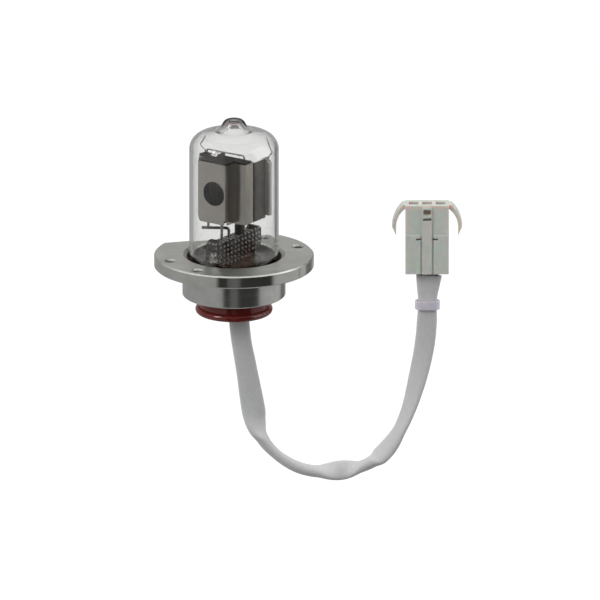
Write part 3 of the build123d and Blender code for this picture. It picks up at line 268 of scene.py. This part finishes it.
nickel_sheet = metal(
    "nickel_sheet",
    dark=(0.58, 0.545, 0.505),
    light=(0.64, 0.60, 0.56),
    rough=(0.16, 0.22),
    grain=ROLLED,
    scale=700.0,
    depth=0.001 * MM,
)
# The rear cover's copy of nickel_sheet: rougher and half metallic, its colour lighter as painted light
lit_matt_nickel = metal(
    "lit_matt_nickel",
    dark=(0.60, 0.57, 0.53),
    light=(0.68, 0.64, 0.60),
    rough=(0.42, 0.55),
    grain=ROLLED,
    scale=700.0,
    depth=0.002 * MM,
    metallic=0.5,
)
streaked_plate = metal(
    "streaked_plate",
    dark=(0.10, 0.085, 0.075),
    light=(0.20, 0.18, 0.165),
    rough=(0.35, 0.5),
    grain=ROLLED,
    depth=0.002 * MM,
)
molybdenum = metal(
    "molybdenum", dark=(0.40, 0.37, 0.34), light=(0.52, 0.49, 0.46), rough=(0.3, 0.45), grain=(1, 1, 0.05)
)
lead_wire = metal(
    "lead_wire", dark=(0.34, 0.32, 0.29), light=(0.46, 0.44, 0.40), rough=(0.2, 0.35), grain=(1, 1, 0.1)
)
tungsten = metal("tungsten", dark=(0.16, 0.16, 0.16), light=(0.24, 0.24, 0.24), rough=(0.35, 0.5))
tinned = metal("tinned", dark=(0.66, 0.65, 0.61), light=(0.76, 0.75, 0.71), rough=(0.2, 0.35))

dark_plate = plain("dark_plate", dark=(0.035, 0.03, 0.027), light=(0.07, 0.062, 0.056), rough=(0.55, 0.75))
insulator = plain("insulator", dark=(0.03, 0.024, 0.02), light=(0.06, 0.05, 0.042), rough=(0.25, 0.4))
wire_skin = plain("wire_skin", dark=(0.05, 0.035, 0.03), light=(0.08, 0.055, 0.045), rough=(0.35, 0.5))
cement = plain(
    "cement",
    dark=(0.16, 0.12, 0.10),
    light=(0.30, 0.24, 0.21),
    rough=(0.6, 0.85),
    scale=400.0,
    depth=0.1 * MM,
)
silicone = plain(
    "silicone",
    dark=(0.11, 0.012, 0.009),
    light=(0.16, 0.018, 0.013),
    rough=(0.04, 0.09),
    scale=300.0,
    depth=0.006 * MM,
)
nylon = plain(
    "nylon",
    dark=(0.56, 0.59, 0.55),
    light=(0.61, 0.64, 0.59),
    rough=(0.30, 0.42),
    scale=500.0,
    depth=0.01 * MM,
    sockets={"Subsurface Weight": 0.7, "Subsurface Scale": 3 * MM},
)
band_skin = plain(
    "band_skin",
    dark=(0.62, 0.61, 0.69),
    light=(0.68, 0.67, 0.75),
    rough=(0.2, 0.3),
    scale=500.0,
    depth=0.01 * MM,
    sockets={"Subsurface Weight": 0.3, "Subsurface Scale": 1 * MM},
)

# Flange: the screw holes stand at HOLE_PLACE in each quarter
RIM_ROUGHNESS = 0.1
HOLE_PLACE = (6.7 * MM, 20.3 * MM, 0)
HOLE_REACH = 2.4 * MM
# The screw holes' walls are coloured darker than the plate: painted shade
HOLE_SHADE_COLOUR = (0.34, 0.32, 0.31)
HOLE_METALLIC = 0.2
SOFT_EDGE = 0.1 * MM


def flange_steel():
    """Satin steel with a polished rim, and duller walls in its screw holes, darkened with painted shade."""
    material = metal("flange_steel", dark=(0.50, 0.50, 0.47), light=(0.60, 0.60, 0.57), rough=(0.30, 0.42))
    tree, shader = opened(material)
    satin = source_of(shader, "Roughness")
    plate_colour = source_of(shader, "Base Color")

    normal = tree.nodes.new("ShaderNodeTexCoord").outputs["Normal"]
    level = maths(tree, "ABSOLUTE", along(tree, normal, UP))
    wall = maths(tree, "SUBTRACT", 1.0, level)
    finish = maths(tree, "MULTIPLY_ADD", wall, RIM_ROUGHNESS, maths(tree, "MULTIPLY", level, satin))
    tree.links.new(finish, shader.inputs["Roughness"])

    quarter = vector_maths(tree, "ABSOLUTE", place(tree, FLAT))
    from_hole = vector_maths(tree, "DISTANCE", quarter, HOLE_PLACE)
    near = spread(tree, from_hole, 1.0, 0.0, HOLE_REACH - SOFT_EDGE, HOLE_REACH)
    hole_wall = maths(tree, "MULTIPLY", wall, near)
    # The walls of the screw holes take the darker colour as painted shade, and less metal
    tree.links.new(blend(tree, hole_wall, plate_colour, HOLE_SHADE_COLOUR), shader.inputs["Base Color"])
    metallic = maths(tree, "MULTIPLY_ADD", hole_wall, HOLE_METALLIC - 1.0, 1.0)
    tree.links.new(metallic, shader.inputs["Metallic"])
    return material


# Holder: turned outside, with fine grooves in its inner wall, their bottoms darkened with painted shade
TURNED = (0.02, 0.02, 1)
HOLDER_INSIDE = 14.95 * MM
GROOVE_PITCH, GROOVE_CREST = 0.75 * MM, 2.9 * MM
# The brown is the inner wall's own; the near-black stop in the grooves' bottoms is painted shade
GROOVE_SHADE_COLOURS = [(0.25, (0.05, 0.03, 0.02)), (0.75, (0.34, 0.27, 0.23))]
GROOVES_ROUGHER_BY = 0.35


def turned_steel():
    """Bright turned steel, browned and matt on its grooved inner wall, with painted shade in the grooves'
    bottoms.
    """
    material = metal(
        "turned_steel",
        dark=(0.46, 0.46, 0.44),
        light=(0.58, 0.58, 0.56),
        rough=(0.12, 0.26),
        grain=TURNED,
        scale=2500.0,
    )
    tree, shader = opened(material)
    outer_colour = source_of(shader, "Base Color")
    outer_finish = source_of(shader, "Roughness")

    from_axis = vector_maths(tree, "LENGTH", place(tree, FLAT))
    inside = spread(tree, from_axis, 1.0, 0.0, HOLDER_INSIDE, HOLDER_INSIDE + SOFT_EDGE)
    grooves = ripple(tree, height_of(tree), GROOVE_PITCH, GROOVE_CREST)
    # Painted shade in the groove bottoms over the wall's own brown
    inner_colour_and_shade = ramp(tree, grooves, GROOVE_SHADE_COLOURS)
    tree.links.new(blend(tree, inside, outer_colour, inner_colour_and_shade), shader.inputs["Base Color"])
    matt = maths(tree, "MULTIPLY", inside, GROOVES_ROUGHER_BY)
    tree.links.new(maths(tree, "ADD", outer_finish, matt), shader.inputs["Roughness"])
    return material


# Bulb: painted shade that greys the glass, the more the further it turns away from the eye, and the darker
# tint of its tip
# Painted shade: grey over all the glass, darkest where it turns away from the eye
GLASS_PAINTED_SHADE = [
    (0.0, (0.865, 0.87, 0.862)),
    (0.4, (0.855, 0.86, 0.852)),
    (0.6, (0.83, 0.835, 0.828)),
    (0.8, (0.79, 0.795, 0.788)),
    (1.0, (0.66, 0.66, 0.65)),
]
TIP_START, TIP_END = 45.6 * MM, 47.4 * MM
TIP_TINT = (0.42, 0.34, 0.36)
DRAWN = (1, 1, 0.15)
DRAWN_SCALE = 90.0


def bulb_glass():
    """Clear glass greyed with painted shade, darkest at its edges, a little uneven where it was drawn and
    sealed.
    """
    material, tree, shader = new_material("bulb_glass")
    set_sockets(shader, {"Transmission Weight": 1.0, "Roughness": 0.0, "IOR": 1.46})
    facing = tree.nodes.new("ShaderNodeLayerWeight")
    facing.inputs["Blend"].default_value = 0.5
    # Painted shade from how far the glass turns away from the eye
    edge_shade = ramp(tree, facing.outputs["Facing"], GLASS_PAINTED_SHADE)
    tip = spread(tree, height_of(tree), 0.0, 1.0, TIP_START, TIP_END)
    tree.links.new(blend(tree, tip, edge_shade, TIP_TINT), shader.inputs["Base Color"])
    waves = noise(tree, place(tree, DRAWN), DRAWN_SCALE, detail=1.0)
    bump(tree, shader, waves, distance=0.06 * MM, strength=0.5)
    return material


# Press: rows and columns of a waffle pattern in the electrode's own directions, with painted highlights on
# its crowns and painted shade in its grooves
ELECTRODE_BACK = (-0.2504, 0.9681, 0.0)
WAFFLE_PITCH_ALONG, WAFFLE_PITCH_UP = 1.9 * MM, 1.5 * MM
WAFFLE_FIRST_ROW = 2.6 * MM
# Painted shade in the waffle's grooves and painted highlights on its crowns
WAFFLE_HIGHLIGHTS_AND_SHADE = [
    (0.10, (0.05, 0.034, 0.028)),
    (0.35, (0.20, 0.15, 0.125)),
    (0.62, (0.80, 0.76, 0.72)),
]
SPARKLE_SCALE = 1400.0
STAIN_COLOUR = (0.34, 0.15, 0.07)
STAIN_SCALE = 260.0
STAIN_SHARE = 0.55
STAIN_START, STAIN_END = 2.0 * MM, 6.0 * MM


def stem_glass():
    """Half-clear glass with painted highlights on the waffle's crowns, painted brown shade in its grooves,
    and amber at its foot.
    """
    material, tree, shader = new_material("stem_glass")
    set_sockets(shader, {"Transmission Weight": 0.4, "Roughness": 0.12, "IOR": 1.5})
    columns = ripple(tree, along(tree, place(tree), ELECTRODE_BACK), WAFFLE_PITCH_ALONG)
    rows = ripple(tree, height_of(tree), WAFFLE_PITCH_UP, WAFFLE_FIRST_ROW)
    crowns = maths(tree, "MULTIPLY", columns, rows)
    # The sparkle noise varies the painted highlights from crown to crown
    sparkle = spread(tree, noise(tree, place(tree), SPARKLE_SCALE), low=0.45, high=1.4, start=0.35, end=0.65)
    lit = ramp(tree, maths(tree, "MULTIPLY", crowns, sparkle), WAFFLE_HIGHLIGHTS_AND_SHADE)

    low = spread(tree, height_of(tree), STAIN_SHARE, 0.0, STAIN_START, STAIN_END)
    patches = spread(tree, noise(tree, place(tree), STAIN_SCALE), low=0.0, high=1.0, start=0.35, end=0.6)
    stain = maths(tree, "MULTIPLY", low, patches)
    tree.links.new(blend(tree, stain, lit, STAIN_COLOUR), shader.inputs["Base Color"])
    bump(tree, shader, crowns, distance=0.2 * MM, strength=0.6)
    return material


# Sleeve: white cloth, with a speckle in its colour and a finer one in its bump
SPECKLE_SCALE, CLOTH_SCALE = 900.0, 2500.0


def sleeve_skin():
    """Soft white cloth with a sheen."""
    material, tree, shader = new_material("sleeve_skin")
    speckle = noise(tree, place(tree), SPECKLE_SCALE)
    colour = two_tone(tree, speckle, dark=(0.58, 0.58, 0.585), light=(0.62, 0.62, 0.63))
    tree.links.new(colour, shader.inputs["Base Color"])
    set_sockets(shader, {"Roughness": 0.55, "Sheen Weight": 0.25})
    set_sockets(shader, {"Subsurface Weight": 0.15, "Subsurface Scale": 1 * MM})
    bump(tree, shader, noise(tree, place(tree), CLOTH_SCALE, detail=2.0), distance=0.02 * MM)
    return material


sleeve_cloth = sleeve_skin()
NODE_MATERIALS = {
    "mounting_flange": flange_steel(),
    "lamp_holder": turned_steel(),
    "glass_bulb": bulb_glass(),
    "press_stem": stem_glass(),
    "base_cement": cement,
    "silicone_plug": silicone,
    "front_shield": nickel_sheet,
    "shield_box": nickel_sheet,
    "rear_cover": lit_matt_nickel,
    "spacer_frame": dark_plate,
    "side_plate": streaked_plate,
    "lower_spacer": dark_plate,
    "upper_spacer": dark_plate,
    "aperture_plate": molybdenum,
    "cathode_baffle": nickel_sheet,
    "anode_plate": molybdenum,
    "filament": tungsten,
    "filament_post": lead_wire,
    "front_lead": lead_wire,
    "cathode_lead": lead_wire,
    "anode_lead": lead_wire,
    "rear_lead": lead_wire,
    "anode_insulator": insulator,
    "top_bail": lead_wire,
    "bail_tab": nickel_sheet,
    "right_spring": lead_wire,
    "left_spring": lead_wire,
    "crimp_ferrules": tinned,
    "base_wires": wire_skin,
    "lead_sleeve": sleeve_cloth,
    "sleeve_band": band_skin,
    "connector_wires": wire_skin,
    "socket_contacts": tinned,
    "connector_housing": nylon,
}
for node_name, material in NODE_MATERIALS.items():
    nodes[node_name].data.materials.clear()
    nodes[node_name].data.materials.append(material)

# Lead: its upright plane's angle, and its route there as (distance out from the lamp's axis,
# height) in millimetres
LEAD_SIDE_ANGLE = 50.5
SLEEVE_ROUTE = [
    (1.3, -13.3),
    (1.8, -22.2),
    (3.8, -32.8),
    (5.6, -44.2),
    (7.4, -54.8),
    (13.2, -62.2),
    (22.3, -67.3),
    (33.0, -67.1),
    (42.5, -65.2),
    (49.6, -58.3),
    (54.4, -48.2),
    (57.5, -36.7),
    (59.8, -25.7),
    (60.5, -16.2),
    (60.5, -8.8),
    (61.0, -2.9),
]
SPLINE_STEPS = 24

# The sleeve is a flat soft tube along the lead's spline, which folds over where it twists:
# (share of the length, turn in degrees, half width and half thickness in millimetres)
SLEEVE_FORM = [
    (0.000, 0, 3.2, 1.3),
    (0.080, 0, 3.15, 1.0),
    (0.150, -4, 3.35, 0.9),
    (0.205, -10, 3.7, 0.9),
    (0.235, -18, 3.85, 1.0),
    (0.255, -36, 3.85, 1.15),
    (0.276, -54, 3.7, 1.55),
    (0.298, -92, 3.0, 1.9),
    (0.320, -100, 2.8, 1.75),
    (0.340, -106, 2.7, 1.6),
    (0.400, -112, 3.0, 1.8),
    (0.435, -104, 3.2, 1.9),
    (0.460, -60, 3.2, 1.5),
    (0.490, -20, 3.1, 1.2),
    (0.510, -50, 3.0, 1.3),
    (0.535, -100, 2.9, 1.8),
    (0.560, -104, 3.0, 2.0),
    (0.574, -46, 3.1, 1.6),
    (0.600, -36, 3.0, 1.2),
    (0.648, -62, 3.0, 1.1),
    (0.700, -50, 3.0, 1.0),
    (0.760, -34, 3.2, 1.0),
    (0.850, -12, 3.2, 1.0),
    (0.905, -2, 3.15, 1.1),
    (0.925, 0, 2.9, 1.2),
    (0.945, 0, 2.9, 1.2),
    (1.000, 0, 4.1, 1.2),
]
# The form passes from one stretch into the next over this share to each side of their joint
SLEEVE_EASE = 0.007
SLEEVE_SIDES = 36
# Powers under 1 make the sleeve's oval section fuller
WIDTH_POWER, THICKNESS_POWER = 0.8, 0.9

lead_out, lead_front = level_directions(LEAD_SIDE_ANGLE)


def lead_point(out, height):
    """A point of the lead's upright plane, from millimetres."""
    return (lead_out * out + UP * height) * MM


def spline_points(name, points):
    """Points along a smooth spline with the given control points."""
    curve = bpy.data.curves.new(name, "CURVE")
    curve.dimensions = "3D"
    curve.resolution_u = SPLINE_STEPS
    spline = curve.splines.new("NURBS")
    spline.points.add(len(points) - 1)
    for target, point in zip(spline.points, points):
        target.co = (*point, 1)
    spline.order_u = 3
    spline.use_endpoint_u = True
    holder = add_object(name, curve)
    mesh = bpy.data.meshes.new_from_object(holder)
    line = [vertex.co.copy() for vertex in mesh.vertices]
    bpy.data.objects.remove(holder)
    bpy.data.meshes.remove(mesh)
    return line


def form_at(share):
    """The sleeve's turn, half width and half thickness at a share of its length."""
    for before, after in zip(SLEEVE_FORM, SLEEVE_FORM[1:]):
        if share <= after[0]:
            break
    part = min(1.0, max(0.0, (share - before[0]) / (after[0] - before[0])))
    return [low + (high - low) * part for low, high in zip(before[1:], after[1:])]


def eased_form(share):
    """The sleeve's form, rounded off where one stretch passes into the next."""
    samples = [form_at(share + SLEEVE_EASE * step / 2) for step in range(-2, 3)]
    return [sum(values) / len(samples) for values in zip(*samples)]


def fuller(value, power):
    """A sine or cosine drawn nearer to 1 or -1 by a power under 1."""
    return math.copysign(abs(value) ** power, value)


def sleeve_row(point, tangent, share):
    """The sleeve's section at a point of its line, as SLEEVE_SIDES places."""
    degrees, half_width, half_thickness = eased_form(share)
    fold = math.radians(degrees)
    side = lead_front.cross(tangent).normalized()
    across = side * math.cos(fold) + lead_front * math.sin(fold)
    through = tangent.cross(across)
    places = []
    for number in range(SLEEVE_SIDES):
        angle = 2 * math.pi * number / SLEEVE_SIDES
        wide = half_width * fuller(math.cos(angle), WIDTH_POWER)
        thick = half_thickness * fuller(math.sin(angle), THICKNESS_POWER)
        places.append(point + (across * wide + through * thick) * MM)
    return places


def sleeve_mesh(line):
    """A flat tube along the line, with its folds, closed at both ends."""
    steps = [(b - a).length for a, b in zip(line, line[1:])]
    total = sum(steps)
    mesh = bmesh.new()
    rows, done = [], 0.0
    for index, point in enumerate(line):
        before, after = line[max(index - 1, 0)], line[min(index + 1, len(line) - 1)]
        tangent = (after - before).normalized()
        rows.append([mesh.verts.new(spot) for spot in sleeve_row(point, tangent, done / total)])
        if index < len(steps):
            done += steps[index]
    for row, following in zip(rows, rows[1:]):
        for number in range(SLEEVE_SIDES):
            other = (number + 1) % SLEEVE_SIDES
            mesh.faces.new((row[number], row[other], following[other], following[number]))
    mesh.faces.new(list(reversed(rows[0])))
    mesh.faces.new(rows[-1])
    bmesh.ops.recalc_face_normals(mesh, faces=mesh.faces)
    data = bpy.data.meshes.new("sleeve")
    mesh.to_mesh(data)
    mesh.free()
    for polygon in data.polygons:
        polygon.use_smooth = True
    return data


sleeve_line = spline_points("sleeve_line", [lead_point(*point) for point in SLEEVE_ROUTE])
sleeve = add_object("sleeve", sleeve_mesh(sleeve_line))
sleeve.data.materials.append(sleeve_cloth)
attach(sleeve, "root")
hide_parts("lead_sleeve")

# Stage: a pale floor below the lamp, which goes on far behind it
FLOOR_DROP = 250 * MM
FLOOR_FRONT = 0.35
FLOOR_BACK = 4.0
FLOOR_SIDE = 0.6
FLOOR_GREY = (0.85, 0.85, 0.85, 1)
FLOOR_GLOW = 0.25
WHITE = (1, 1, 1, 1)


def mirrored(tree):
    """1 for light that has been mirrored or scattered on its way, 0 for what is seen directly."""
    path = tree.nodes.new("ShaderNodeLightPath")
    bounces = maths(tree, "ADD", path.outputs["Glossy Depth"], path.outputs["Diffuse Depth"])
    return maths(tree, "MINIMUM", bounces, 1.0)


def floor_paint():
    """Pale paint that the eye sees, and that leaves mirrored light to the studio."""
    material, tree, shader = new_material("floor_paint")
    set_sockets(shader, {"Base Color": FLOOR_GREY, "Roughness": 0.9})
    set_sockets(shader, {"Emission Color": WHITE, "Emission Strength": FLOOR_GLOW})
    clear = tree.nodes.new("ShaderNodeBsdfTransparent")
    either = tree.nodes.new("ShaderNodeMixShader")
    tree.links.new(mirrored(tree), either.inputs["Fac"])
    tree.links.new(shader.outputs["BSDF"], either.inputs[1])
    tree.links.new(clear.outputs["BSDF"], either.inputs[2])
    tree.links.new(either.outputs["Shader"], tree.nodes["Material Output"].inputs["Surface"])
    return material


floor_data = bpy.data.meshes.new("floor")
corners = [
    to_front * FLOOR_FRONT - view_right * FLOOR_SIDE,
    to_front * FLOOR_FRONT + view_right * FLOOR_SIDE,
    -to_front * FLOOR_BACK + view_right * FLOOR_SIDE,
    -to_front * FLOOR_BACK - view_right * FLOOR_SIDE,
]
floor_data.from_pydata([corner - UP * FLOOR_DROP for corner in corners], [], [(0, 1, 2, 3)])
floor_data.materials.append(floor_paint())
floor = add_object("floor", floor_data)

# The studio's brightness by direction: 0 and 1 are behind the object, 0.5 is at the camera
STUDIO_RING = [
    (0.000, 0.40),
    (0.078, 0.40),
    (0.097, 0.42),
    (0.330, 0.46),
    (0.425, 0.42),
    (0.440, 0.04),
    (0.469, 0.04),
    (0.478, 0.14),
    (0.514, 0.17),
    (0.533, 0.04),
    (0.653, 0.04),
    (0.672, 0.50),
    (0.845, 0.58),
    (0.865, 0.20),
    (0.917, 0.20),
    (0.935, 0.44),
    (1.000, 0.40),
]
# Upwards the ring passes into the lit ceiling between these heights of a direction
CEILING_START, CEILING_END = 0.35, 0.75
CEILING = 1.0
BACKDROP = 1.03


def grey(value):
    """A colour with three equal parts."""
    return (value, value, value)


def add_studio():
    """The world: a plain backdrop to the eye, and the studio in what mirrors it."""
    world = bpy.data.worlds.new("studio")
    bpy.context.scene.world = world
    world.use_nodes = True
    tree = world.node_tree
    direction = tree.nodes.new("ShaderNodeTexCoord").outputs["Generated"]
    to_right, to_viewer = along(tree, direction, view_right), along(tree, direction, to_front)
    bearing = maths(tree, "ARCTAN2", to_right, to_viewer)
    around = maths(tree, "MULTIPLY_ADD", bearing, 1 / (2 * math.pi), 0.5)
    ring = ramp(tree, around, [(position, grey(value)) for position, value in STUDIO_RING])
    upward = spread(tree, along(tree, direction, UP), 0.0, 1.0, CEILING_START, CEILING_END)
    studio = blend(tree, upward, ring, grey(CEILING))
    seen = blend(tree, mirrored(tree), grey(BACKDROP), studio)
    background = tree.nodes["Background"]
    tree.links.new(seen, background.inputs["Color"])
    background.inputs["Strength"].default_value = 1.0


def add_softbox(name, side, front, height, size, power):
    """A soft area light that faces the lamp."""
    data = bpy.data.lights.new(name, "AREA")
    data.shape = "RECTANGLE"
    data.size, data.size_y = size
    data.energy = power
    light = add_object(name, data)
    light.location = view_right * side + to_front * front + UP * height
    look_back(light, light.location)


add_studio()
add_softbox("left_softbox", side=-0.7, front=0.5, height=0.5, size=(0.3, 0.6), power=4.0)
add_softbox("right_softbox", side=0.8, front=0.1, height=0.3, size=(0.8, 1.0), power=3.0)
bpy.context.scene.view_settings.view_transform = "Standard"
